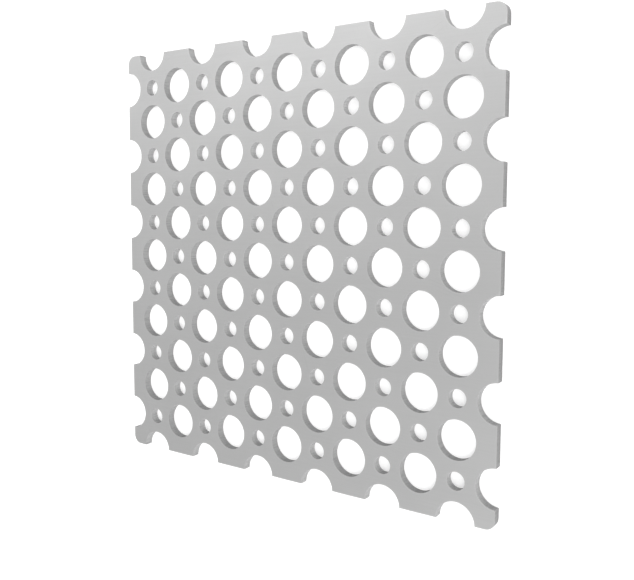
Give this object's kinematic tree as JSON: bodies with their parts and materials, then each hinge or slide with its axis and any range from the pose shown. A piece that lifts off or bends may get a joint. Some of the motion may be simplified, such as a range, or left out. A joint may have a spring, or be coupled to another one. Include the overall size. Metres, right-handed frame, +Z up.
{
  "type": "perforated metal sheet",
  "caption": "Square perforated metal sheet with large and small round holes in a chequered pattern, half-round notches along its edges and rounded corners; for screens, guards and panels.",
  "frame": {"origin": "middle of the underside", "axes": "+Z up through the thickness, out of the top face; X along the length and Y along the width, as the rows of holes run"},
  "size_m": [0.15, 0.15, 0.003],
  "materials": {
    "sheet_metal": "satin"
  },
  "bodies": {
    "root": {"perforated_sheet": "sheet_metal"}
  },
  "joints": []
}
